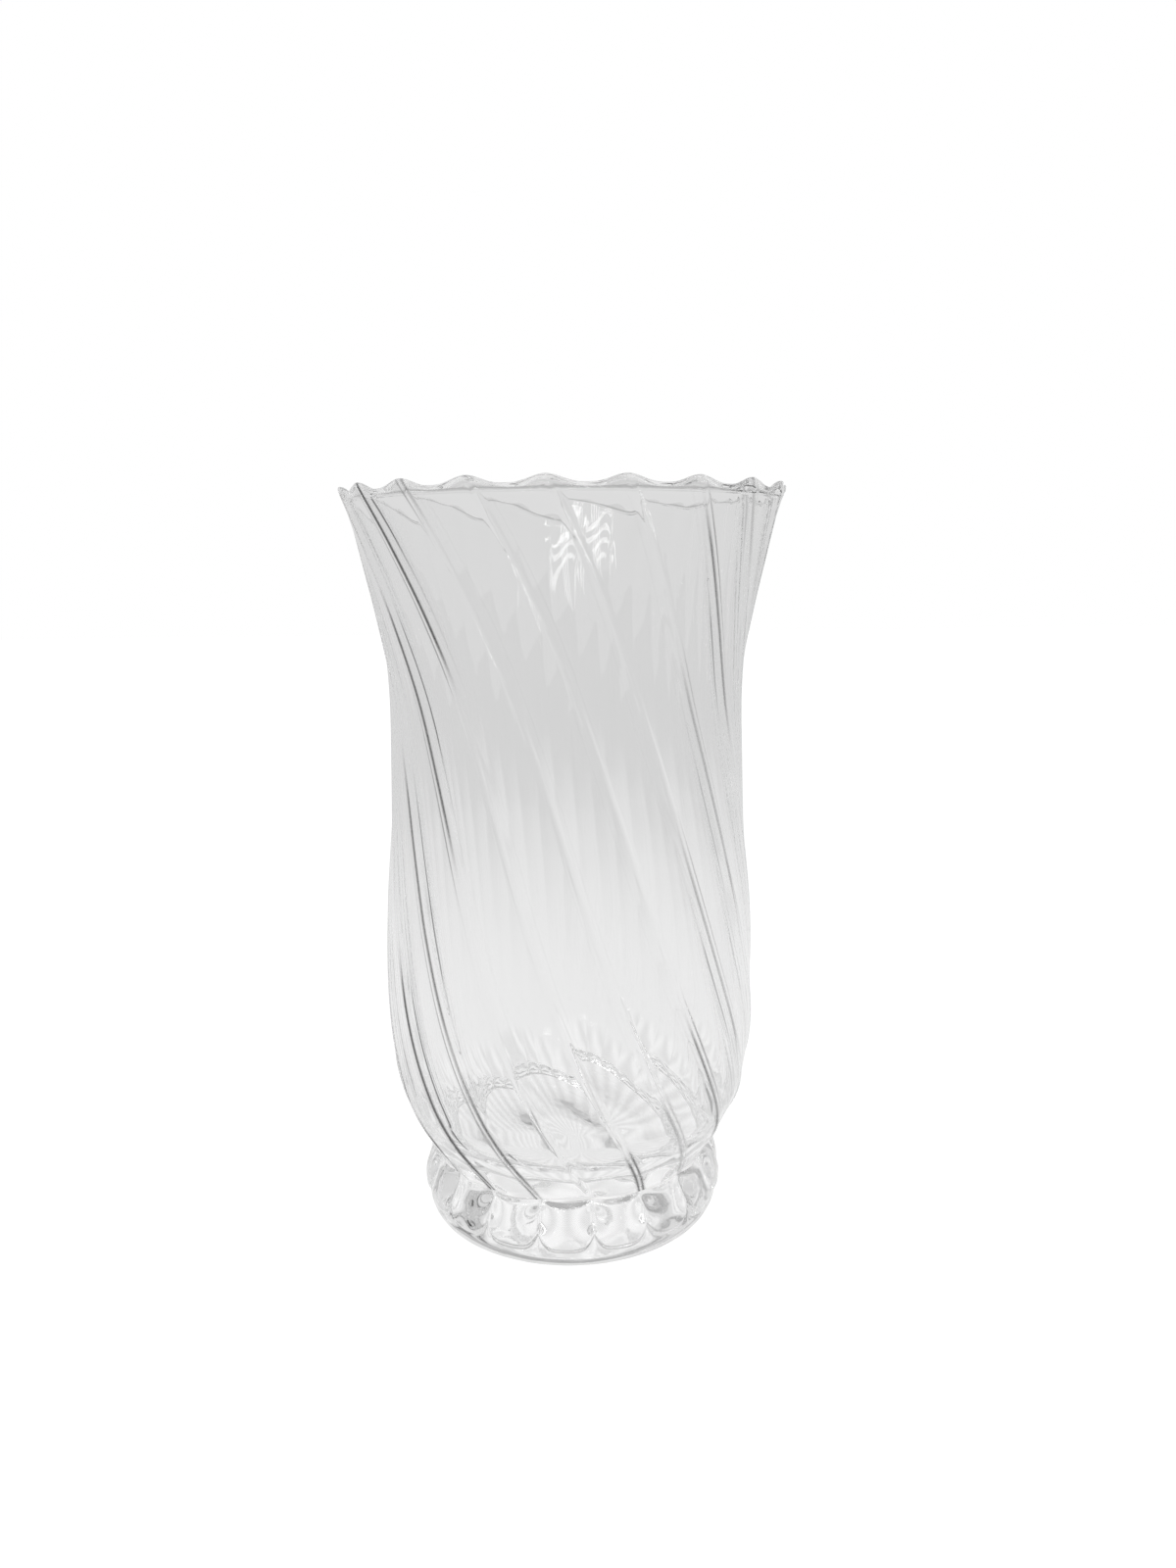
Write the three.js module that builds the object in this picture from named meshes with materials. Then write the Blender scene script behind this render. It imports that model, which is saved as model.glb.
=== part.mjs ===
// Hurricane vase of clear blown glass, millimetres, +Z up.
// The origin is the middle of the foot's resting plane, and +Z is the axis of the vase.
// A swirled, ribbed bowl with a scalloped lip stands on a thick lobed foot.
// The photograph is seen from the -Y side, with +X to the right.

import * as THREE from 'three';

// Driving dimensions of the whole vase
const TOTAL_HEIGHT = 240;
const FOOT_HEIGHT = 21.5;
const JOINT_GAP = 0.3;

// Bowl radii, outside
const NECK_RADIUS = 47;
const BELLY_RADIUS = 61.4;
const WAIST_RADIUS = 56.9;
const RIM_RADIUS = 70.1;

// Bowl glass
const WALL = 3;
const FLOOR = 7;
const FLOOR_CORNER_WIDTH = 25;
const FLOOR_CORNER_HEIGHT = 18;
const NECK_EDGE = 1.8;

// Foot radii and heights
const FOOT_RADIUS = 51.1;
const FOOT_WIDEST_HEIGHT = 11;
const RESTING_RING_OUTER = 47;
const RESTING_RING_WIDTH = 7;
const RECESS_DEPTH = 2.5;
const RECESS_DOME_WIDTH = 0.6;
const RECESS_DOME_RISE = 0.75;
const FOOT_TOP_EDGE = 1.6;

// Swirled ribs: narrow ribs that stand out of broad panels, and run down into the foot's creases
const RIB_COUNT = 20;
const STEPS_PER_RIB = 6;
const RIB_PHASE = 6.5;
const RIB_HEIGHT_RIM = 0.7;
const RIB_HEIGHT_BODY = 0.5;
const NECK_CREASE_DEPTH = 0.9;
const NECK_CREASE_REACH = 0.08;
const RIB_SHARPNESS = 3;
const RIB_THICKENING = 0.5;
const FOOT_CREASE_DEPTH = 1.5;

// Turn of the swirl in degrees for each millimetre of height
const SWIRL_AT_RIM = 0.45;
const SWIRL_AT_WAIST = 0.355;
const SWIRL_AT_MIDDLE = 0.28;
const SWIRL_AT_BELLY = 0.365;
const SWIRL_AT_NECK = 0.52;

// Hand-finished unevenness: degrees by which ribs spread on the side seen, at the foot,
// and the power of the height with which it fades out upwards
const FOOT_UNEVENNESS = 8;
const UNEVENNESS_FADE = 3;

// Scallops of the lip, which peak where the ribs run out
const SCALLOP_HEIGHT = 2.2;
const SCALLOP_REACH = 14;
const SCALLOP_SHARPNESS = 1.4;
const LIP_STEPS = 4;

// Rings of the wall, as shares of the bowl's height: closer by the neck and by the lip
const NECK_RINGS_TOP = 0.16;
const BODY_RINGS_BOTTOM = 0.21;
const BODY_RINGS_TOP = 0.9;
const LIP_RINGS_BOTTOM = 0.935;
const INNER_RINGS_TOP = 0.83;
const NECK_EDGE_TURNS = [0, 30, 60];
const FLOOR_CORNER_TURNS = [68, 46, 26, 10];

// Rings of the foot's side, as shares of its height
const FOOT_WIDEST = FOOT_WIDEST_HEIGHT / FOOT_HEIGHT;
const FOOT_RINGS = [0, 0.05, 0.2, 0.36, FOOT_WIDEST, 0.65, 0.8, 0.92];

const COLUMNS = RIB_COUNT * STEPS_PER_RIB;
const BOWL_BASE = FOOT_HEIGHT + JOINT_GAP;
const BOWL_HEIGHT = TOTAL_HEIGHT - BOWL_BASE;

// Blends one value to another
const blend = (from, to, share) => from + (to - from) * share;

// Outside of the bowl: share of its height, and radius
const bowlOutline = [
  [0, NECK_RADIUS],
  [0.043, blend(NECK_RADIUS, BELLY_RADIUS, 0.37)],
  [0.087, blend(NECK_RADIUS, BELLY_RADIUS, 0.69)],
  [0.142, blend(NECK_RADIUS, BELLY_RADIUS, 0.9)],
  [0.24, BELLY_RADIUS],
  [0.384, blend(BELLY_RADIUS, WAIST_RADIUS, 0.25)],
  [0.494, blend(BELLY_RADIUS, WAIST_RADIUS, 0.62)],
  [0.604, blend(BELLY_RADIUS, WAIST_RADIUS, 0.95)],
  [0.714, WAIST_RADIUS],
  [0.824, blend(WAIST_RADIUS, RIM_RADIUS, 0.235)],
  [0.923, blend(WAIST_RADIUS, RIM_RADIUS, 0.61)],
  [1, RIM_RADIUS],
];

// Smooth curve through rows of [position, value]
function smoothCurve(rows) {
  const positions = rows.map((row) => row[0]);
  const values = rows.map((row) => row[1]);
  const curve = new THREE.CubicInterpolant(positions, values, 1);
  return (at) => {
    const clamped = Math.min(Math.max(at, positions[0]), positions.at(-1));
    return curve.evaluate(clamped)[0];
  };
}

const outlineAt = smoothCurve(bowlOutline);
const outerRadius = (z) => outlineAt((z - BOWL_BASE) / BOWL_HEIGHT);

// Wall measured square to the surface, as a difference of radii
const SLOPE_STEP = 0.5;
function wallAcross(z) {
  const rise = outerRadius(z + SLOPE_STEP) - outerRadius(z - SLOPE_STEP);
  const slope = rise / (2 * SLOPE_STEP);
  return WALL * Math.hypot(1, slope);
}

// Swirl angle at a height, in degrees: 0 at the neck, and growing upwards
const swirlRate = smoothCurve([
  [0, SWIRL_AT_NECK],
  [0.1, blend(SWIRL_AT_NECK, SWIRL_AT_BELLY, 0.13)],
  [0.25, SWIRL_AT_BELLY],
  [0.45, SWIRL_AT_MIDDLE],
  [0.7, SWIRL_AT_WAIST],
  [1, SWIRL_AT_RIM],
]);

const SWIRL_STEPS = 200;
const swirlTable = [0];
for (let i = 1; i <= SWIRL_STEPS; i += 1) {
  const middle = (i - 0.5) / SWIRL_STEPS;
  swirlTable.push(swirlTable[i - 1] + swirlRate(middle) * (BOWL_HEIGHT / SWIRL_STEPS));
}

const bowlShare = (z) => THREE.MathUtils.clamp((z - BOWL_BASE) / BOWL_HEIGHT, 0, 1);

function swirlAt(z) {
  const place = bowlShare(z) * SWIRL_STEPS;
  const below = Math.min(Math.floor(place), SWIRL_STEPS - 1);
  return blend(swirlTable[below], swirlTable[below + 1], place - below);
}

// Rib: 1 on its line and 0 in the panels. Panel: 1 in the middle and 0 on the ribs
const turnOf = (column) => (column / STEPS_PER_RIB) * 2 * Math.PI;
const rib = (column) => Math.max(0, Math.cos(turnOf(column))) ** RIB_SHARPNESS;
const panel = (column) => (1 - Math.cos(turnOf(column))) / 2;

const ribHeight = smoothCurve([
  [0, RIB_HEIGHT_BODY],
  [0.85, RIB_HEIGHT_BODY],
  [1, RIB_HEIGHT_RIM],
]);

// The lip rises to a peak at each rib, and the top of the wall follows it
function scallopAt(z, column) {
  const start = TOTAL_HEIGHT - SCALLOP_REACH;
  const share = THREE.MathUtils.smoothstep(z, start, TOTAL_HEIGHT);
  const peak = (1 - panel(column)) ** SCALLOP_SHARPNESS;
  return -SCALLOP_HEIGHT * share * (1 - peak);
}

// Point on a ring. Angles are counted from the side seen, -Y, and follow the swirl upwards
function ringPoint(column, radius, z, swirlHeight) {
  const even = RIB_PHASE + (column * 360) / COLUMNS;
  const fade = (1 - bowlShare(swirlHeight)) ** UNEVENNESS_FADE;
  const spread = FOOT_UNEVENNESS * fade * Math.sin(THREE.MathUtils.degToRad(even));
  const angle = THREE.MathUtils.degToRad(even + spread - swirlAt(swirlHeight));
  return new THREE.Vector3(radius * Math.sin(angle), -radius * Math.cos(angle), z);
}

// Closed skin over rings of equal count, closed by a middle point at both ends.
// Rings run from the first middle point over the outside to the last one.
function skin(firstMiddle, rings, lastMiddle) {
  const points = [firstMiddle, ...rings.flat(), lastMiddle];
  const index = [];
  const at = (ring, column) => 1 + ring * COLUMNS + (column % COLUMNS);
  const last = points.length - 1;
  for (let column = 0; column < COLUMNS; column += 1) {
    index.push(0, at(0, column + 1), at(0, column));
    for (let ring = 0; ring + 1 < rings.length; ring += 1) {
      const a = at(ring, column);
      const b = at(ring, column + 1);
      const c = at(ring + 1, column + 1);
      const d = at(ring + 1, column);
      index.push(a, b, c, a, c, d);
    }
    index.push(last, at(rings.length - 1, column), at(rings.length - 1, column + 1));
  }
  const geometry = new THREE.BufferGeometry().setFromPoints(points);
  geometry.setIndex(index);
  geometry.computeVertexNormals();
  return geometry;
}

function ring(radiusOf, zOf, swirlHeight) {
  const points = [];
  for (let column = 0; column < COLUMNS; column += 1) {
    points.push(ringPoint(column, radiusOf(column), zOf(column), swirlHeight));
  }
  return points;
}

// Heights of the rings between two levels
function levels(from, to, count) {
  return Array.from({ length: count }, (unused, i) => blend(from, to, i / (count - 1)));
}

const clearGlass = (name) => new THREE.MeshStandardMaterial({
  name,
  color: 0xeef2f1,
  roughness: 0.03,
  metalness: 0,
  transparent: true,
  opacity: 0.35,
});

// Bowl: flat underside, rounded neck edge, ribbed outside and inside, rounded lip and floor corner
function makeSwirlBowl() {
  const rings = [];
  const neckTop = BOWL_BASE + NECK_EDGE;
  const lipHalf = WALL / 2;
  const shoulder = TOTAL_HEIGHT - lipHalf;
  const floorTop = BOWL_BASE + FLOOR;
  const cornerTop = floorTop + FLOOR_CORNER_HEIGHT;
  const levelAt = (share) => BOWL_BASE + share * BOWL_HEIGHT;

  const outside = (z) => (column) => {
    const share = (z - BOWL_BASE) / BOWL_HEIGHT;
    const aboveNeck = THREE.MathUtils.smoothstep(share, 0, NECK_CREASE_REACH);
    const creased = NECK_CREASE_DEPTH * rib(column);
    const ribbed = ribHeight(share) * (1 - rib(column));
    return outerRadius(z) - blend(creased, ribbed, aboveNeck);
  };
  const thickening = (column) => RIB_THICKENING * (1 - panel(column));
  const inside = (z) => (column) => outerRadius(z) - wallAcross(z) - thickening(column);
  const raised = (z) => (column) => z + scallopAt(z, column);

  // Underside disc and the rounded neck edge
  for (const turn of NECK_EDGE_TURNS) {
    const angle = THREE.MathUtils.degToRad(turn);
    const inset = NECK_EDGE * (1 - Math.sin(angle));
    const rise = NECK_EDGE * (1 - Math.cos(angle));
    const radius = (column) => outside(neckTop)(column) - inset;
    rings.push(ring(radius, () => BOWL_BASE + rise, neckTop));
  }

  // Outside wall
  const outerLevels = [
    ...levels(neckTop, levelAt(NECK_RINGS_TOP), 6),
    ...levels(levelAt(BODY_RINGS_BOTTOM), levelAt(BODY_RINGS_TOP), 10),
    ...levels(levelAt(LIP_RINGS_BOTTOM), shoulder, 3),
  ];
  for (const z of outerLevels) {
    rings.push(ring(outside(z), raised(z), z));
  }

  // Lip, a half round between the two walls
  for (let i = 1; i < LIP_STEPS; i += 1) {
    const angle = (Math.PI * i) / LIP_STEPS;
    const share = (1 - Math.cos(angle)) / 2;
    const z = shoulder + lipHalf * Math.sin(angle);
    const radius = (column) => blend(outside(shoulder)(column), inside(shoulder)(column), share);
    rings.push(ring(radius, raised(z), shoulder));
  }

  // Inside wall down to the floor's rounded corner
  const innerLevels = [
    ...levels(shoulder, levelAt(BODY_RINGS_TOP), 3),
    ...levels(levelAt(INNER_RINGS_TOP), cornerTop, 9),
  ];
  for (const z of innerLevels) {
    rings.push(ring(inside(z), raised(z), z));
  }
  for (const turn of FLOOR_CORNER_TURNS) {
    const angle = THREE.MathUtils.degToRad(turn);
    const z = cornerTop - FLOOR_CORNER_HEIGHT * Math.cos(angle);
    const radius = (column) => inside(cornerTop)(column) - FLOOR_CORNER_WIDTH * (1 - Math.sin(angle));
    rings.push(ring(radius, () => z, z));
  }

  const geometry = skin(
    new THREE.Vector3(0, 0, BOWL_BASE),
    rings,
    new THREE.Vector3(0, 0, floorTop),
  );
  const mesh = new THREE.Mesh(geometry, clearGlass('bowl_glass'));
  mesh.name = 'swirl_bowl';
  return mesh;
}

// Foot: resting ring round a shallow recess, lobed cushion side and a flat top under the bowl
function makeCushionFoot() {
  const ringInner = RESTING_RING_OUTER - RESTING_RING_WIDTH;
  const topEdgeRadius = NECK_RADIUS - NECK_EDGE;
  const side = smoothCurve([
    [0, RESTING_RING_OUTER],
    [0.05, blend(RESTING_RING_OUTER, FOOT_RADIUS, 0.35)],
    [0.2, blend(RESTING_RING_OUTER, FOOT_RADIUS, 0.78)],
    [FOOT_WIDEST, FOOT_RADIUS],
    [0.75, blend(FOOT_RADIUS, topEdgeRadius, 0.22)],
    [0.92, blend(FOOT_RADIUS, topEdgeRadius, 0.62)],
    [1, topEdgeRadius],
  ]);
  // The creases run down the shoulder of the foot and fade out just below its widest ring
  const depth = smoothCurve([
    [0, 0],
    [0.3, 0],
    [0.5, 0.35 * FOOT_CREASE_DEPTH],
    [0.7, 0.95 * FOOT_CREASE_DEPTH],
    [0.85, FOOT_CREASE_DEPTH],
    [1, 0.6 * FOOT_CREASE_DEPTH],
  ]);

  const rings = [];
  rings.push(ring(() => ringInner * RECESS_DOME_WIDTH, () => RECESS_DEPTH * RECESS_DOME_RISE, BOWL_BASE));
  rings.push(ring(() => ringInner, () => 0, BOWL_BASE));
  for (const share of FOOT_RINGS) {
    const radius = (column) => side(share) - depth(share) * rib(column);
    rings.push(ring(radius, () => share * FOOT_HEIGHT, BOWL_BASE));
  }
  const topRadius = (column) => topEdgeRadius - FOOT_TOP_EDGE - depth(1) * rib(column);
  rings.push(ring(topRadius, () => FOOT_HEIGHT, BOWL_BASE));

  const geometry = skin(
    new THREE.Vector3(0, 0, RECESS_DEPTH),
    rings,
    new THREE.Vector3(0, 0, FOOT_HEIGHT),
  );
  const mesh = new THREE.Mesh(geometry, clearGlass('foot_glass'));
  mesh.name = 'cushion_foot';
  return mesh;
}

const vase = new THREE.Group();
vase.add(makeSwirlBowl());
vase.add(makeCushionFoot());

export default vase;
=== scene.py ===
# %% [markdown]
# # A swirled glass hurricane vase
# The vase is blown from clear glass: a tall ribbed bowl with a scalloped lip, on a thick lobed foot. Its
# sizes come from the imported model, which is loaded first and stays where it is. The bowl and the foot are
# then modelled again as fine smooth meshes, because a faceted wall would show as a net of flat panes in
# clear glass.

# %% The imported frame
import math

import bmesh
import bpy
from mathutils import Matrix, Vector


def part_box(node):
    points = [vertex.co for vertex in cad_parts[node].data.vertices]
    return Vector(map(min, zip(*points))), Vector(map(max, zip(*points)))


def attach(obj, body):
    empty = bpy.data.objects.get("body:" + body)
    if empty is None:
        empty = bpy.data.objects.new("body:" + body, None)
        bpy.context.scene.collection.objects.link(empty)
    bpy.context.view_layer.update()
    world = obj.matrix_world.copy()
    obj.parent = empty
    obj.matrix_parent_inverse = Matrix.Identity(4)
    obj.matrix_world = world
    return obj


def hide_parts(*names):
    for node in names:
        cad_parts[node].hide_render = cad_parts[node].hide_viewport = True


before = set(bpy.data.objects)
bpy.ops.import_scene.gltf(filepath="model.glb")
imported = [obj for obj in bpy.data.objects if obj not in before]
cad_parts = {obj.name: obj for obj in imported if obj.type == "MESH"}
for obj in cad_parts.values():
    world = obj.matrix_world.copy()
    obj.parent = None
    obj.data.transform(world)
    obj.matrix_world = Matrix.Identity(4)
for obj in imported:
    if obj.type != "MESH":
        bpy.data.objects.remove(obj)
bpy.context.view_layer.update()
bowl_low, bowl_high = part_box("swirl_bowl")
foot_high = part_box("cushion_foot")[1]

# %% [markdown]
# ## Camera
# The photograph was taken with a phone held just below the height of the lip and pointed down, so the
# near lip is the top outline and the far lip shows through the glass. A wide 27 mm view from close by
# makes the foot look narrower than the mouth, so distance and height matter more here than the zoom.

# %% Camera at the photograph's place
MM = 0.001
CAMERA_LENS = 26.73
FILM_WIDTH = 36
CAMERA_DISTANCE = 377.2 * MM
CAMERA_HEIGHT = 219 * MM
CAMERA_PITCH = math.radians(11.09)
CAMERA_YAW = math.radians(1.03)
CAMERA_ROLL = math.radians(0.62)


def make_camera():
    data = bpy.data.cameras.new("camera")
    data.lens = CAMERA_LENS
    data.sensor_width = FILM_WIDTH
    data.clip_start = 10 * MM
    camera = bpy.data.objects.new("camera", data)
    bpy.context.collection.objects.link(camera)
    turn = Matrix.Rotation(-CAMERA_YAW, 4, "Z")
    tilt = Matrix.Rotation(math.pi / 2 - CAMERA_PITCH, 4, "X")
    roll = Matrix.Rotation(-CAMERA_ROLL, 4, "Z")
    place = Matrix.Translation((0, -CAMERA_DISTANCE, CAMERA_HEIGHT))
    camera.matrix_world = place @ turn @ tilt @ roll
    bpy.context.scene.camera = camera
    print("camera at, in mm:", [round(value / MM, 1) for value in camera.matrix_world.translation])


make_camera()

# %% [markdown]
# ## Measures of the glass
# Blown glass has no straight lines, so the outside of the bowl is one smooth curve through a few heights
# and radii, read off the photograph's outline. A curve through few points stays fair, where many measured
# points would carry the noise of the measuring into the glass and every reflection would wobble.

# %% Smooth curves and the bowl's outline
RIM_RADIUS = 69.98 * MM
VASE_HEIGHT = bowl_high.z
JOINT_HEIGHT = (foot_high.z + bowl_low.z) / 2
BOWL_HEIGHT = VASE_HEIGHT - JOINT_HEIGHT
NECK_RADIUS = 47 * MM
BELLY_RADIUS = 61.4 * MM
WAIST_RADIUS = 56.9 * MM


def blend(start, end, share):
    return start + (end - start) * share


def smoothstep(share):
    share = min(max(share, 0.0), 1.0)
    return share * share * (3 - 2 * share)


def smooth_curve(rows):
    """A smooth curve through rows of (position, value)."""
    slopes = []
    for i in range(len(rows)):
        before, after = rows[max(i - 1, 0)], rows[min(i + 1, len(rows) - 1)]
        slopes.append((after[1] - before[1]) / (after[0] - before[0]))

    def value(at):
        at = min(max(at, rows[0][0]), rows[-1][0])
        i = max(k for k in range(len(rows) - 1) if rows[k][0] <= at)
        (x0, y0), (x1, y1) = rows[i], rows[i + 1]
        t, width = (at - x0) / (x1 - x0), x1 - x0
        bend = t * (1 - t) * width
        return blend(y0, y1, smoothstep(t)) + bend * ((1 - t) * slopes[i] - t * slopes[i + 1])

    return value


outline = smooth_curve([
    (0, NECK_RADIUS),
    (0.043, blend(NECK_RADIUS, BELLY_RADIUS, 0.37)),
    (0.087, blend(NECK_RADIUS, BELLY_RADIUS, 0.69)),
    (0.142, blend(NECK_RADIUS, BELLY_RADIUS, 0.9)),
    (0.24, BELLY_RADIUS),
    (0.384, blend(BELLY_RADIUS, WAIST_RADIUS, 0.25)),
    (0.494, blend(BELLY_RADIUS, WAIST_RADIUS, 0.62)),
    (0.604, blend(BELLY_RADIUS, WAIST_RADIUS, 0.95)),
    (0.714, WAIST_RADIUS),
    (0.824, blend(WAIST_RADIUS, RIM_RADIUS, 0.235)),
    (0.923, blend(WAIST_RADIUS, RIM_RADIUS, 0.61)),
    (1, RIM_RADIUS),
])


def bowl_share(z):
    return min(max((z - JOINT_HEIGHT) / BOWL_HEIGHT, 0), 1)


def outer_radius(z):
    return outline(bowl_share(z))


print("radius in mm at the foot, middle and rim:", [round(outline(s) / MM, 1) for s in (0, 0.5, 1)])

# %% [markdown]
# ## The swirl
# The ribs come from a mould with twenty grooves. The blower pulls the soft glass out of it and twists it,
# so each rib turns as it climbs, fastest near the neck where the glass stayed hot. The turn could be one
# constant rate, but the photograph shows it slow down at the middle of the bowl. So the turn at a height
# is the sum of small steps, worked out once and looked up after that. The columns of the mesh crowd
# together at the ribs, where the shape is.

# %% Ribs, their turn and their unevenness
RIB_COUNT = 20
RIB_ANGLE = math.tau / RIB_COUNT
RIB_PHASE = math.radians(6.5)
FOOT_UNEVENNESS = math.radians(8)
SWIRL_STEPS = 400
COLUMN_CROWDING = 0.75

# Turn of the ribs in degrees for each millimetre of height
swirl_rate = smooth_curve([(0, 0.52), (0.1, 0.5), (0.25, 0.365), (0.45, 0.28), (0.7, 0.355), (1, 0.45)])

swirl_table = [0.0]
for step in range(SWIRL_STEPS):
    rate = math.radians(swirl_rate((step + 0.5) / SWIRL_STEPS)) / MM
    swirl_table.append(swirl_table[-1] + rate * BOWL_HEIGHT / SWIRL_STEPS)


def swirl(z):
    place = bowl_share(z) * SWIRL_STEPS
    below = min(int(place), SWIRL_STEPS - 1)
    return blend(swirl_table[below], swirl_table[below + 1], place - below)


def rib_place(angle):
    """Where an angle lies between two rib lines, from 0 to 1, with columns drawn together at the lines."""
    ribs = (angle - RIB_PHASE) / RIB_ANGLE
    u = ribs - math.floor(ribs)
    return ribs - u, u - COLUMN_CROWDING * math.sin(math.tau * u) / math.tau


def rib(u, width):
    """The cross-section of a rib: flat at 1 on its line, with two steep narrow sides, and 0 beyond."""
    from_line = 0.5 - abs(u - 0.5)
    return math.exp(-((from_line / width) ** 4))


def arch(u, softness):
    """The cross-section of a panel or cushion: 0 on a rib line, rounded off there, and 1 in the middle."""
    middle = math.hypot(0.5, softness)
    from_line = 0.5 - abs(u - 0.5)
    near = (math.hypot(from_line, softness) - softness) / (middle - softness)
    return near * (2 - near)


def swirled(whole, u, z):
    """The angle at a height of the column that stands at u between two rib lines."""
    even = RIB_PHASE + (whole + u) * RIB_ANGLE
    spread = FOOT_UNEVENNESS * (1 - bowl_share(z)) ** 3 * math.sin(even)
    return even + spread - swirl(z)


print("whole turn of a rib, neck to rim, in degrees:", round(math.degrees(swirl_table[-1]), 1))

# %% [markdown]
# ## The bowl
# A bowl is a lathe shape, so its closed cross-section, with the outer wall, the round lip, the inner wall
# and the floor, is spun about the axis. It could also be a Screw modifier, but a spun mesh can be
# reshaped right away, and its joints close exactly. Both skins of the wall are needed, because clear
# glass bends light at each of them.

# %% A spun body of glass
COLUMNS = 26
MERGE_DISTANCE = 0.001 * MM


def spin_section(name, section):
    """Spins a cross-section, a list of (radius, height) that starts and ends on the axis."""
    bm = bmesh.new()
    side, front = math.sin(RIB_PHASE), -math.cos(RIB_PHASE)
    points = [bm.verts.new((radius * side, radius * front, z)) for radius, z in section]
    edges = [bm.edges.new(pair) for pair in zip(points, points[1:])]
    turn = {"cent": (0, 0, 0), "axis": (0, 0, 1)}
    bmesh.ops.spin(bm, geom=points + edges, angle=RIB_ANGLE, steps=COLUMNS, **turn)
    bmesh.ops.spin(
        bm, geom=list(bm.verts) + list(bm.edges) + list(bm.faces),
        angle=math.tau - RIB_ANGLE, steps=RIB_COUNT - 1, use_duplicate=True, **turn,
    )
    bmesh.ops.remove_doubles(bm, verts=bm.verts, dist=MERGE_DISTANCE)
    bmesh.ops.recalc_face_normals(bm, faces=bm.faces)
    print(name, "spun:", len(bm.verts), "points,", len(bm.faces), "faces")
    return bm


def finish_piece(name, bm, node, materials):
    """Makes the object of a finished mesh, in the place of its CAD node."""
    for face in bm.faces:
        face.smooth = True
    mesh = bpy.data.meshes.new(name)
    bm.to_mesh(mesh)
    bm.free()
    piece = bpy.data.objects.new(name, mesh)
    bpy.context.collection.objects.link(piece)
    for material in materials:
        mesh.materials.append(material)
    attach(piece, "root")
    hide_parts(node)


# %% [markdown]
# ## Cross-section of the bowl
# The wall is 3 mm thick, measured square to its surface, so that it doesn't thin out where the mouth
# flares. The lip was melted round in a flame, which leaves it leaning outwards, with a thin bead along
# its inside. The floor is thicker than the wall and meets it in a wide round corner, as glass does that
# has sagged while it was hot.

# %% Cross-section of the bowl
WALL = 3 * MM
FLOOR = 7 * MM
FLOOR_CORNER_WIDTH = 25 * MM
FLOOR_CORNER_HEIGHT = 18 * MM
NECK_EDGE = 0.6 * MM
PEAK_HEIGHT = 2.8 * MM
VALLEY_HEIGHT = 0.6 * MM
LIP_LEAN = 1.8
BEAD_WIDTH = 0.7 * MM
BEAD_HEIGHT = 0.3 * MM
EDGE_POINTS = 7
OUTSIDE_POINTS = 84
LIP_POINTS = 16
BEAD_POINTS = 13
INSIDE_POINTS = 58
CORNER_POINTS = 18
LIP_BOTTOM = VASE_HEIGHT - PEAK_HEIGHT
floor_top = JOINT_HEIGHT + FLOOR
corner_top = floor_top + FLOOR_CORNER_HEIGHT


def wall_across(z):
    """The thickness of the wall measured level, where it is WALL square to its surface."""
    step = WALL / 6
    slope = (outer_radius(z + step) - outer_radius(z - step)) / (2 * step)
    return WALL * math.hypot(1, slope)


def between(start, end, count):
    """Evenly spaced values from start to end, both included."""
    return [blend(start, end, i / (count - 1)) for i in range(count)]


def bowl_section():
    """Points from the axis at the joint, up the outside, over the lip and down to the floor's middle."""
    neck_top = JOINT_HEIGHT + NECK_EDGE
    edge_radius = outer_radius(neck_top) - NECK_EDGE
    section = [(0, JOINT_HEIGHT)]
    for share in between(0, 1, EDGE_POINTS):
        turn = share * math.pi / 2
        edge = (edge_radius + NECK_EDGE * math.sin(turn), neck_top - NECK_EDGE * math.cos(turn))
        section.append(edge)
    section += [(outer_radius(z), z) for z in between(neck_top, LIP_BOTTOM, OUTSIDE_POINTS)[1:]]
    outer, inner = outer_radius(LIP_BOTTOM), outer_radius(LIP_BOTTOM) - wall_across(LIP_BOTTOM)
    flare = (RIM_RADIUS - outer) / PEAK_HEIGHT
    for share in between(0, 1, LIP_POINTS)[1:-1]:
        turn = share * math.pi
        rise = PEAK_HEIGHT * math.sin(turn)
        across = ((1 - math.cos(turn)) / 2) ** LIP_LEAN
        section.append((blend(outer, inner, across) + flare * rise, LIP_BOTTOM + rise))
    bead_middle, bead_bottom = LIP_BOTTOM - BEAD_WIDTH, LIP_BOTTOM - 2 * BEAD_WIDTH
    for z in between(LIP_BOTTOM, bead_bottom, BEAD_POINTS)[:-1]:
        swell = BEAD_HEIGHT * math.cos((z - bead_middle) / BEAD_WIDTH * math.pi / 2) ** 2
        section.append((outer_radius(z) - wall_across(z) - swell, z))
    for z in between(bead_bottom, corner_top, INSIDE_POINTS):
        section.append((outer_radius(z) - wall_across(z), z))
    corner_radius = outer_radius(corner_top) - wall_across(corner_top)
    for share in between(1, 0, CORNER_POINTS)[1:]:
        turn = share * math.pi / 2
        radius = corner_radius - FLOOR_CORNER_WIDTH * (1 - math.sin(turn))
        section.append((radius, corner_top - FLOOR_CORNER_HEIGHT * math.cos(turn)))
    section.append((0, floor_top))
    return section


print("points in the bowl's cross-section:", len(bowl_section()))

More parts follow.
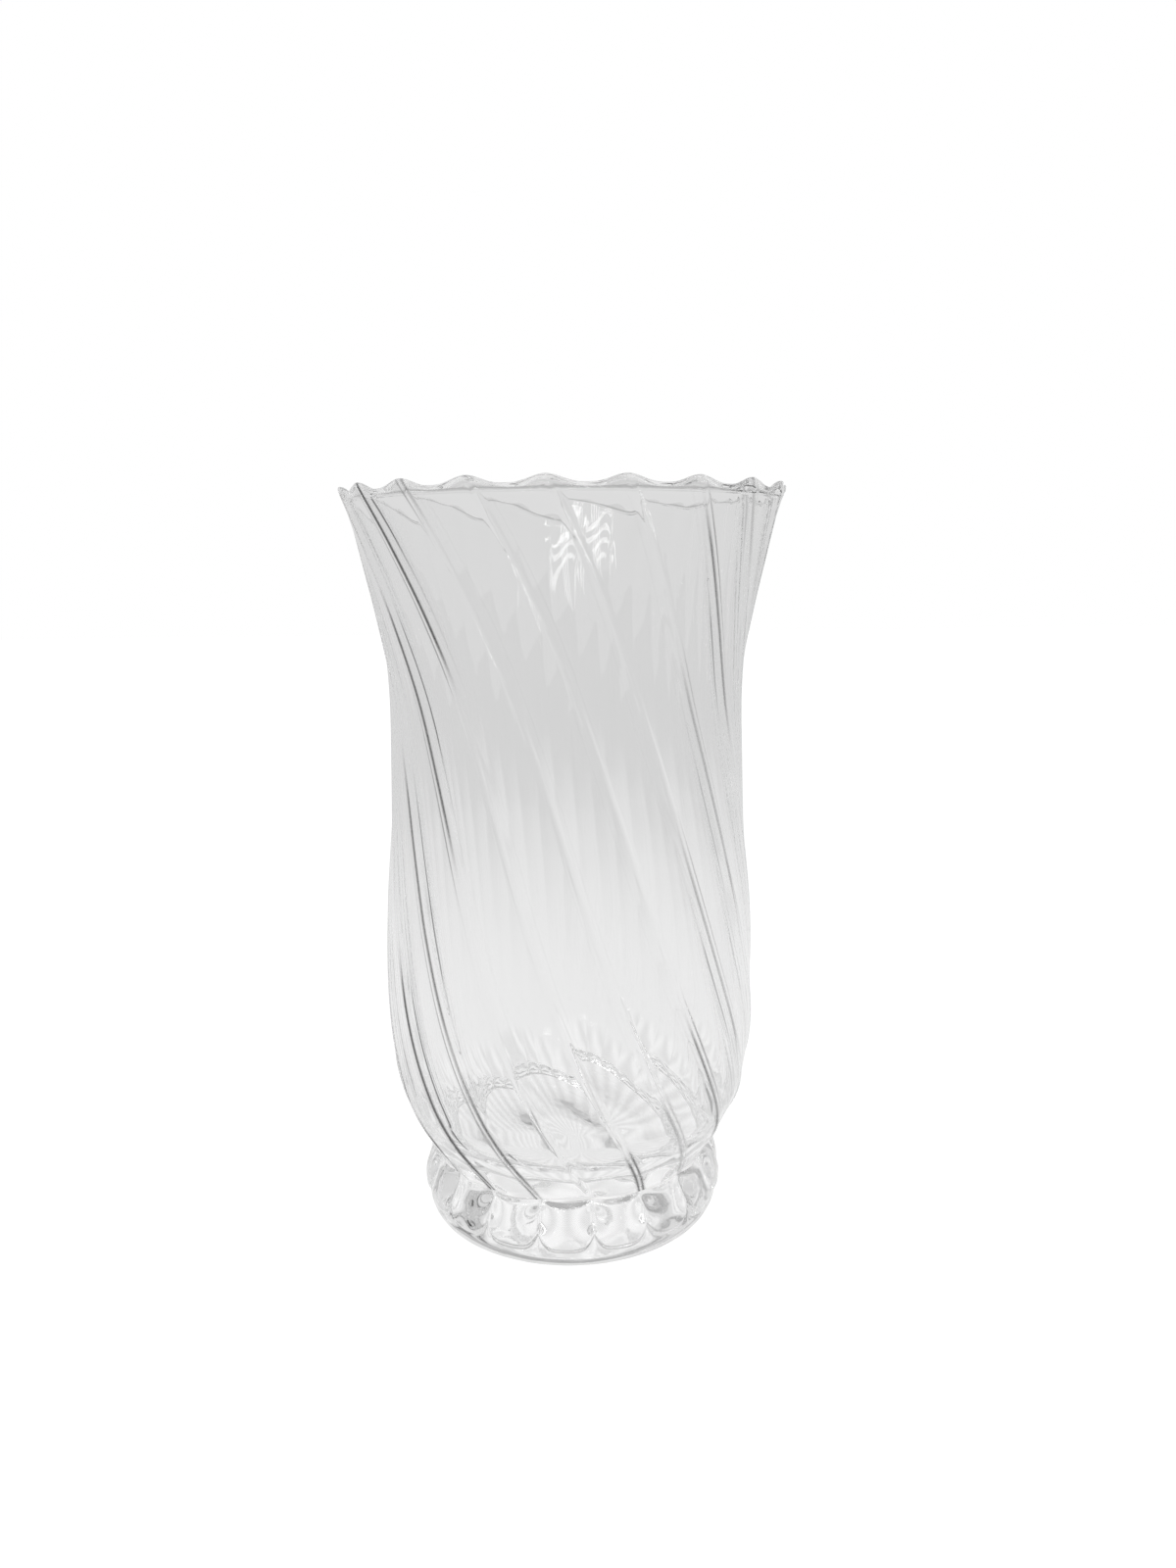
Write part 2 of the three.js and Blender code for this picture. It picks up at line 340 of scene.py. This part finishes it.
# %% [markdown]
# ## Ribs, panels and scallops
# The swirl and the ribs are pushed into the spun wall point by point. Outside, each rib stands out of the
# broad panels beside it, and inside the wall is thicker behind it, so each panel works as a weak hollow
# lens. That is what breaks the far lip and the edge of the floor into slanted teeth, as in the
# photograph. At the neck the ribs sink into creases, which run on between the lobes of the foot. The lip
# rises to a peak on every rib.
#
# In the photograph the steep sides of some ribs mirror dark things in the room. A dark room would show
# through the glass from every side, so these dark reflections are painted into the glass instead, as thin
# lines of painted reflection: a value is stored on the points where they run, and the material darkens the
# glass there. The thin dark line along the inside of the lip is painted shade, made the same way.

# %% Ribs, panels and scallops of the bowl
rib_height = smooth_curve([(0, 0.5 * MM), (0.12, 0.45 * MM), (0.4, 0.4 * MM), (1, 0.4 * MM)])
panel_dip = smooth_curve([(0, 0.5 * MM), (0.12, 0.35 * MM), (0.4, 0.28 * MM), (1, 0.28 * MM)])
rib_thickening = smooth_curve([
    (0, 0.5 * MM), (0.1, 0.7 * MM), (0.3, 0.9 * MM), (0.5, 0.9 * MM), (0.8, 0.7 * MM), (1, 0.5 * MM),
])
RIB_WIDTH = 0.05
RIB_SOFTNESS = 0.07
NECK_CREASE_DEPTH = 0.9 * MM
NECK_CREASE_REACH = 0.06
SCALLOP_SHARPNESS = 1.4
PAINTED_LIP_SHADE_WIDTH = 0.45 * MM
BACK_RIBS = 0.2
BACK_SHARE, FRONT_SHARE = 0.3, 0.7


def rib_strength(angle):
    """The ribs are sharp on the front of the vase and faint on its back, as in the photograph."""
    front = (1 + math.cos(angle)) / 2
    return blend(BACK_RIBS, 1, smoothstep((front - BACK_SHARE) / (FRONT_SHARE - BACK_SHARE)))


# Place, width, reach and darkness of the painted dark reflections on the rib sides
RIB_LINE_PLACE = 0.05
RIB_LINE_WIDTH = 0.02
LINE_START = math.radians(32)
LINE_START_NECK = math.radians(8)
LINE_END = math.radians(64)
LINE_FADE = math.radians(8)
LINE_NECK_REACH = 0.28
NECK_LINE_WIDENING = 1.7
LINE_DARKNESS = 1.8


def painted_reflection_strength(angle, line, u, share):
    """Two thin dark lines of painted reflection on the sides of a rib, left and right of the middle of the
    front.

    They are darkest on the left, and no two ribs have them equally dark.
    """
    from_line = 0.5 - abs(u - 0.5)
    above_neck = smoothstep(share / LINE_NECK_REACH)
    width = RIB_LINE_WIDTH * blend(NECK_LINE_WIDENING, 1, above_neck)
    side = math.exp(-(((from_line - RIB_LINE_PLACE) / width) ** 2))
    from_front = abs((angle + math.pi) % math.tau - math.pi)
    starts = smoothstep((from_front - blend(LINE_START_NECK, LINE_START, above_neck)) / LINE_FADE)
    ends = smoothstep((LINE_END - from_front) / LINE_FADE)
    uneven = (0.75 - 0.3 * math.sin(angle)) * (0.85 + 0.25 * math.sin(2.4 * line))
    return min(LINE_DARKNESS * side * starts * ends * uneven, 1)


def sculpt_bowl(bm):
    untwisted = bm.verts.layers.float_vector.new("untwisted")
    edge_line = bm.verts.layers.float.new("edge_line")
    rib_line = bm.verts.layers.float.new("rib_line")
    for vert in bm.verts:
        vert[untwisted] = vert.co
        x, y, z = vert.co
        radius = math.hypot(x, y)
        if radius < MM:
            continue
        whole, u = rib_place(math.atan2(x, -y))
        panel = arch(u, RIB_SOFTNESS)
        share = bowl_share(z)
        skin = min(max((outer_radius(z) - radius) / WALL, 0), 1)
        near_axis = smoothstep(radius / NECK_RADIUS)
        angle = swirled(whole, u, z)
        height = rib_height(share) * rib_strength(angle)
        above_neck = smoothstep(share / NECK_CREASE_REACH)
        on_rib = rib(u, RIB_WIDTH)
        creased = NECK_CREASE_DEPTH * (1 - panel)
        ribbed = height * (1 - on_rib) + panel_dip(share) * panel
        outside = -blend(creased, ribbed, above_neck)
        inside = -rib_thickening(share) * (1 - panel)
        radius += blend(outside, inside, skin) * near_axis
        # Painted shade: a dark line along the inside of the lip
        vert[edge_line] = skin * math.exp(-(((z - LIP_BOTTOM) / PAINTED_LIP_SHADE_WIDTH) ** 2))
        # Painted reflection: dark lines on the steep rib sides, where they would mirror dark things
        vert[rib_line] = (1 - skin) * painted_reflection_strength(angle, round(whole + u), u, share)
        if z > LIP_BOTTOM:
            peak = ((1 + math.cos(math.tau * u)) / 2) ** SCALLOP_SHARPNESS
            z = LIP_BOTTOM + (z - LIP_BOTTOM) * blend(VALLEY_HEIGHT, PEAK_HEIGHT, peak) / PEAK_HEIGHT
        vert.co = (radius * math.sin(angle), -radius * math.cos(angle), z)


print("rib height in mm at the neck and the rim:", [round(rib_height(s) / MM, 2) for s in (0, 1)])

# %% [markdown]
# ## The foot
# The foot is one thick gather of glass. Its side swells into twenty cushions with creases between them,
# and a smooth ring below them meets the table. Each cushion carries a flat pad with a curved lower edge,
# and light that comes through the pads makes the row of small bright windows. It is spun and sculpted
# like the bowl.

# %% Cross-section and cushions of the foot
FOOT_RADIUS = foot_high.y
FOOT_WIDEST = 11 * MM
RING_OUTER = 47 * MM
RING_INNER = 40 * MM
RECESS_DEPTH = 2.5 * MM
RECESS_POINTS = 10
RING_POINTS = 4
SIDE_POINTS = 90


def foot_section():
    """Points from the axis in the recess, over the ring and up the side to the axis at the joint."""
    top_radius = outer_radius(JOINT_HEIGHT + NECK_EDGE) - NECK_EDGE
    side = smooth_curve([
        (0, RING_OUTER),
        (1.1 * MM, blend(RING_OUTER, FOOT_RADIUS, 0.35)),
        (4.3 * MM, blend(RING_OUTER, FOOT_RADIUS, 0.78)),
        (FOOT_WIDEST, FOOT_RADIUS),
        (16 * MM, blend(FOOT_RADIUS, top_radius, 0.22)),
        (20 * MM, blend(FOOT_RADIUS, top_radius, 0.62)),
        (JOINT_HEIGHT, top_radius),
    ])
    section = [(0, RECESS_DEPTH)]
    for share in between(1 / RECESS_POINTS, 1, RECESS_POINTS):
        section.append((RING_INNER * share, RECESS_DEPTH * math.cos(share * math.pi / 2) ** 1.5))
    section += [(radius, 0) for radius in between(RING_INNER, RING_OUTER, RING_POINTS)[1:-1]]
    section += [(side(z), z) for z in between(0, JOINT_HEIGHT, SIDE_POINTS)]
    section.append((0, JOINT_HEIGHT))
    return section


foot_crease = smooth_curve([
    (0, 0),
    (5 * MM, 0.1 * MM),
    (8 * MM, 0.5 * MM),
    (11 * MM, 1.1 * MM),
    (15 * MM, 2.2 * MM),
    (18 * MM, 2.4 * MM),
    (JOINT_HEIGHT, 1.5 * MM),
])
FOOT_SOFTNESS = 0.06
PAD_BOTTOM = 7 * MM
PAD_CURVE = 5 * MM
PAD_EDGE = 2 * MM
PAD_HEIGHT = 0.7 * MM
RING_BLEND = 4 * MM


def sculpt_foot(bm):
    untwisted = bm.verts.layers.float_vector.new("untwisted")
    for vert in bm.verts:
        vert[untwisted] = vert.co
        x, y, z = vert.co
        radius = math.hypot(x, y)
        if radius < MM:
            continue
        whole, u = rib_place(math.atan2(x, -y))
        crease = 1 - arch(u, FOOT_SOFTNESS)
        pad_bottom = PAD_BOTTOM + PAD_CURVE * abs(2 * u - 1) ** 4
        below_pad = 1 - smoothstep((z - pad_bottom) / PAD_EDGE + 0.5)
        step = PAD_HEIGHT * below_pad * smoothstep(z / PAD_BOTTOM)
        outside = smoothstep((radius - RING_INNER) / RING_BLEND)
        radius -= (foot_crease(z) * crease + step) * outside
        angle = swirled(whole, u, JOINT_HEIGHT)
        vert.co = (radius * math.sin(angle), -radius * math.cos(angle), z)


print("points in the foot's cross-section:", len(foot_section()))

# %% [markdown]
# ## Shader helper
# Materials are node trees. Written by hand they are long, so one small class makes a node from its type,
# its settings and its inputs, and lets numbers be added and multiplied with the usual signs.

# %% A small language for nodes
class Wire:
    """An output socket with arithmetic."""

    def __init__(self, shader, socket):
        self.shader, self.socket = shader, socket

    def math(self, operation, *values):
        return self.shader.node("ShaderNodeMath", {"operation": operation}, dict(enumerate(values)))[0]

    def __add__(self, other):
        return self.math("ADD", self, other)

    def __mul__(self, other):
        return self.math("MULTIPLY", self, other)

    def __rsub__(self, other):
        return self.math("SUBTRACT", other, self)

    __radd__, __rmul__ = __add__, __mul__


class Made:
    """A node's outputs, by number or name."""

    def __init__(self, shader, node):
        self.shader, self.node = shader, node

    def __getitem__(self, key):
        return Wire(self.shader, self.node.outputs[key])


class Shader:
    """Makes nodes in one tree."""

    def __init__(self, owner):
        owner.use_nodes = True
        self.tree = owner.node_tree
        self.tree.nodes.clear()

    def node(self, kind, settings=None, sockets=None):
        node = self.tree.nodes.new(kind)
        for key, value in (settings or {}).items():
            if key == "stops":
                ramp = node.color_ramp
                while len(ramp.elements) < len(value):
                    ramp.elements.new(1)
                for element, (position, colour) in zip(ramp.elements, value):
                    element.position, element.color = position, (*colour, 1)
            else:
                setattr(node, key, value)
        for key, value in (sockets or {}).items():
            if isinstance(value, Wire):
                self.tree.links.new(value.socket, node.inputs[key])
            else:
                node.inputs[key].default_value = value
        return Made(self, node)

    def ramp(self, value, start, end, low, high):
        """Goes smoothly from low to high while a value goes from start to end."""
        return self.node("ShaderNodeMapRange", {"interpolation_type": "SMOOTHSTEP"}, {
            "Value": value, "From Min": start, "From Max": end, "To Min": low, "To Max": high,
        })["Result"]


# %% [markdown]
# ## Clear glass
# Glass is a Principled shader with full transmission and no roughness, and an index of 1.5. Hand-blown
# glass is never quite even: thin cords run along the ribs, and a slow ripple lies over the whole wall.
# Both are noises on the place that each point had before the twist, so they follow the swirl. The foot is
# fused to the bowl, so the two discs where they meet aren't a surface of the glass at all. They get a
# second material with an alpha of 0, which lets light straight through as the fused glass does.

# %% Glass materials
CLEAR = (0.975, 0.975, 0.975, 1)
# Dark glass colour for the painted shade line inside the lip
PAINTED_LIP_SHADE = (0.37, 0.37, 0.37, 1)
# Near-black glass colour for the painted reflections on the rib sides
PAINTED_RIB_REFLECTION = (0.02, 0.02, 0.02, 1)
REFRACTION_INDEX = 1.5
RIPPLE_SIZE = 22 * MM
RIPPLE_HEIGHT = 0.2 * MM


def make_glass(name, cord_width, cord_height, stretch):
    material = bpy.data.materials.new(name)
    shader = Shader(material)
    place = shader.node("ShaderNodeAttribute", {"attribute_name": "untwisted"})["Vector"]
    squeeze = {0: place, 1: (1, 1, stretch)}
    along = shader.node("ShaderNodeVectorMath", {"operation": "MULTIPLY"}, squeeze)["Vector"]
    cords = shader.node("ShaderNodeTexNoise", {}, {
        "Vector": along, "Scale": 1 / cord_width, "Detail": 1.0, "Roughness": 0.5,
    })["Fac"]
    ripple = shader.node("ShaderNodeTexNoise", {}, {
        "Vector": place, "Scale": 1 / RIPPLE_SIZE, "Detail": 1.0, "Roughness": 0.4,
    })["Fac"]
    bump = shader.node("ShaderNodeBump", {}, {
        "Height": cords * cord_height + ripple * RIPPLE_HEIGHT, "Strength": 1.0, "Distance": 1.0,
    })["Normal"]
    # Painted shade: darkens the glass along the inside of the lip
    edge = shader.node("ShaderNodeAttribute", {"attribute_name": "edge_line"})["Fac"]
    tint = shader.node("ShaderNodeMix", {"data_type": "RGBA"}, {
        "Factor": edge, 6: CLEAR, 7: PAINTED_LIP_SHADE,
    })[2]
    # Painted reflection: darkens the glass on the rib sides
    line = shader.node("ShaderNodeAttribute", {"attribute_name": "rib_line"})["Fac"]
    tint = shader.node("ShaderNodeMix", {"data_type": "RGBA"}, {
        "Factor": line, 6: tint, 7: PAINTED_RIB_REFLECTION,
    })[2]
    glass = shader.node("ShaderNodeBsdfPrincipled", {}, {
        "Base Color": tint,
        "Roughness": 0.0,
        "IOR": REFRACTION_INDEX,
        "Transmission Weight": 1.0,
        "Normal": bump,
    })["BSDF"]
    shader.node("ShaderNodeOutputMaterial", {}, {"Surface": glass})
    return material


def make_fused_face(name):
    material = bpy.data.materials.new(name)
    shader = Shader(material)
    clear = shader.node("ShaderNodeBsdfPrincipled", {}, {"Base Color": (1, 1, 1, 1), "Alpha": 0.0})["BSDF"]
    shader.node("ShaderNodeOutputMaterial", {}, {"Surface": clear})
    return material


bowl_glass = make_glass("bowl_glass", cord_width=7 * MM, cord_height=0.03 * MM, stretch=0.08)
foot_glass = make_glass("foot_glass", cord_width=12 * MM, cord_height=0.05 * MM, stretch=1)
fused_face = make_fused_face("fused_face")
print("materials:", [material.name for material in (bowl_glass, foot_glass, fused_face)])

# %% [markdown]
# ## Bowl and foot
# The two bodies are now spun, sculpted and given their glass. They take the places of the two CAD nodes,
# so they ride on the same body, each with two material slots: its glass and the fused face.

# %% Bowl and foot
FUSED = 1
LEVEL_TOLERANCE = 0.01 * MM


def mark_fused(bm):
    """Gives the flat disc at the joint the material of the fused face."""
    for face in bm.faces:
        off_level = max(abs(vert.co.z - JOINT_HEIGHT) for vert in face.verts)
        if off_level < LEVEL_TOLERANCE:
            face.material_index = FUSED


bowl_mesh = spin_section("bowl", bowl_section())
sculpt_bowl(bowl_mesh)
mark_fused(bowl_mesh)
finish_piece("swirl_bowl_glass", bowl_mesh, "swirl_bowl", [bowl_glass, fused_face])

foot_mesh = spin_section("foot", foot_section())
sculpt_foot(foot_mesh)
mark_fused(foot_mesh)
finish_piece("cushion_foot_glass", foot_mesh, "cushion_foot", [foot_glass, fused_face])

# %% [markdown]
# ## Studio
# Clear glass shows nothing but its surroundings, bent. So the surroundings are the real material here: a
# floor that glows, palest near the vase as a painted pool of light, with painted streaks of light and shade
# around the foot and two painted dark patches left and right; a pale wall and a greyer ceiling. Where the
# floor meets the wall, the panels draw the tone out into long slanted tongues. The camera sees plain white
# behind the vase, as in the photograph, and everything else sees the floor and the wall: a Light Path node
# tells the two apart.

# %% Floor with a painted pool of light, painted streaks and two painted dark patches
DARK_PATCH_START = math.radians(67)
DARK_PATCH_END = math.radians(79)
DARK_PATCH_EDGE = math.radians(3)
DARK_PATCH_NEAR = (0.075, 0.10)
DARK_PATCH_FAR = (0.48, 0.6)
DARK_PATCH_TONE = 0.2


def painted_dark_patches(shader, turn, away):
    """Two painted dark patches in the floor's glow, left and right of the vase: 1 on a patch and 0 beside
    it.
    """
    side = turn.math("ABSOLUTE", turn)
    after_start = shader.ramp(side, DARK_PATCH_START - DARK_PATCH_EDGE, DARK_PATCH_START, 0.0, 1.0)
    before_end = shader.ramp(side, DARK_PATCH_END, DARK_PATCH_END + DARK_PATCH_EDGE, 1.0, 0.0)
    beyond_vase = shader.ramp(away, *DARK_PATCH_NEAR, 0.0, 1.0)
    in_reach = shader.ramp(away, *DARK_PATCH_FAR, 1.0, 0.0)
    return after_start * before_end * beyond_vase * in_reach


FLOOR_SIZE = 6.0
FLOOR_DROP = 0.2 * MM
NEAR_TONE, FAR_TONE = 0.88, 0.68
TONE_CHANGE = (0.12, 0.9)
STREAK_COUNT = 27
STREAK_TONE = 0.09
STREAK_FADE = (0.09, 0.14)
WHITE_STRENGTH = 1.25
WHITE_SHARE = 0.78
WHITE = (1, 1, 1, 1)
PAINT = (0.85, 0.85, 0.85, 1)


def make_floor():
    bm = bmesh.new()
    bmesh.ops.create_grid(bm, x_segments=1, y_segments=1, size=FLOOR_SIZE / 2)
    mesh = bpy.data.meshes.new("floor")
    bm.to_mesh(mesh)
    bm.free()
    floor = bpy.data.objects.new("floor", mesh)
    bpy.context.collection.objects.link(floor)
    floor.location.z = -FLOOR_DROP
    material = bpy.data.materials.new("pale_floor")
    shader = Shader(material)
    seen = shader.node("ShaderNodeLightPath")["Is Camera Ray"]
    place = shader.node("ShaderNodeTexCoord")["Object"]
    away = shader.node("ShaderNodeVectorMath", {"operation": "LENGTH"}, {0: place})["Value"]
    parts = shader.node("ShaderNodeSeparateXYZ", {}, {0: place})
    turn = parts["X"].math("ARCTAN2", parts["X"], parts["Y"])
    # Painted pool of light: the floor glows palest near the vase
    painted_light_pool = shader.ramp(away, *TONE_CHANGE, NEAR_TONE, FAR_TONE)
    # Painted streaks of light and shade around the foot, as the ribs would cast them
    painted_rib_streaks = 1 + turn.math("SINE", turn * STREAK_COUNT) * shader.ramp(away, *STREAK_FADE, STREAK_TONE, 0.0)
    # Painted dark patches lower the glow left and right, for the rib sides to mirror
    tone = painted_light_pool * (1 - painted_dark_patches(shader, turn, away) * DARK_PATCH_TONE) * painted_rib_streaks
    grey = shader.node("ShaderNodeEmission", {}, {"Color": WHITE, "Strength": tone})["Emission"]
    white = shader.node("ShaderNodeEmission", {}, {"Color": WHITE, "Strength": WHITE_STRENGTH})["Emission"]
    paint = shader.node("ShaderNodeBsdfDiffuse", {}, {"Color": PAINT})["BSDF"]
    shadowed = shader.node("ShaderNodeMixShader", {}, {0: WHITE_SHARE, 1: paint, 2: white})[0]
    both = shader.node("ShaderNodeMixShader", {}, {0: seen, 1: grey, 2: shadowed})[0]
    shader.node("ShaderNodeOutputMaterial", {}, {"Surface": both})
    mesh.materials.append(material)


make_floor()
print("floor side in metres:", FLOOR_SIZE)

# %% [markdown]
# ## Room and window
# The wall is a ramp from the horizon to the ceiling. The window is four upright panes and a narrow top
# pane, as area lamps: seen in the rippled wall they become the bent white highlight in the mouth of the
# vase. Light that has crossed many walls of the lip or the foot would only leave stray white dots, so a
# lamp goes dark for it.

# %% Room and window
ROOM = [
    (0.00, (0.72, 0.72, 0.72)),
    (0.12, (0.74, 0.74, 0.74)),
    (0.50, (0.68, 0.68, 0.68)),
    (0.75, (0.48, 0.48, 0.48)),
    (1.00, (0.40, 0.40, 0.40)),
]


def make_surroundings():
    world = bpy.data.worlds.new("surroundings")
    bpy.context.scene.world = world
    shader = Shader(world)
    place = shader.node("ShaderNodeTexCoord")["Generated"]
    height = shader.node("ShaderNodeSeparateXYZ", {}, {0: place})["Z"]
    room = shader.node("ShaderNodeValToRGB", {"stops": ROOM}, {"Fac": height})["Color"]
    seen = shader.node("ShaderNodeLightPath")["Is Camera Ray"]
    colour = shader.node("ShaderNodeMix", {"data_type": "RGBA"}, {
        "Factor": seen, 6: room, 7: WHITE,
    })[2]
    sky = shader.node("ShaderNodeBackground", {}, {"Color": colour, "Strength": 1.0})[0]
    shader.node("ShaderNodeOutputWorld", {}, {"Surface": sky})


WINDOW_DISTANCE = 1.6
WINDOW_BRIGHTNESS = 5
AIM = Vector((0, 0, 120 * MM))
MOST_CROSSINGS = 4


def make_lamp(name, width, height, azimuth, elevation):
    """A flat lamp that faces the vase, at a place given in degrees from the camera's side."""
    a, e = math.radians(azimuth), math.radians(elevation)
    towards = Vector((math.sin(a) * math.cos(e), -math.cos(a) * math.cos(e), math.sin(e)))
    place = AIM + WINDOW_DISTANCE * towards
    data = bpy.data.lights.new(name, "AREA")
    data.shape = "RECTANGLE"
    data.size, data.size_y = width, height
    data.energy = WINDOW_BRIGHTNESS * math.pi * width * height
    shader = Shader(data)
    crossed = shader.node("ShaderNodeLightPath")["Transmission Depth"]
    few = crossed.math("LESS_THAN", crossed, MOST_CROSSINGS + 0.5)
    light = shader.node("ShaderNodeEmission", {}, {"Strength": few})["Emission"]
    shader.node("ShaderNodeOutputLight", {}, {"Surface": light})
    lamp = bpy.data.objects.new(name, data)
    bpy.context.collection.objects.link(lamp)
    facing = (AIM - place).to_track_quat("-Z", "Y").to_matrix().to_4x4()
    lamp.matrix_world = Matrix.Translation(place) @ facing
    print(name, "at, in metres:", [round(value, 2) for value in place])


make_surroundings()
for pane, azimuth in enumerate((-20, -15, -10, -5)):
    make_lamp("window_pane_" + str(pane + 1), width=0.05, height=0.5, azimuth=azimuth, elevation=34)
make_lamp("window_top", width=0.45, height=0.04, azimuth=-12, elevation=43)

# %% [markdown]
# ## Colours of the picture
# The Standard view shows colours as they are. A ray that crosses a glass vase passes four or more
# surfaces and is thrown about inside the lip and the foot, so the light may bounce far more often than in
# a plain scene.

# %% Colours and bounces
BOUNCES = 48
FUSED_CROSSINGS = 16

scene = bpy.context.scene
scene.view_settings.view_transform = "Standard"
scene.cycles.max_bounces = BOUNCES
scene.cycles.transmission_bounces = BOUNCES
scene.cycles.glossy_bounces = BOUNCES
scene.cycles.transparent_max_bounces = FUSED_CROSSINGS
print("view transform:", scene.view_settings.view_transform, "and bounces:", BOUNCES)
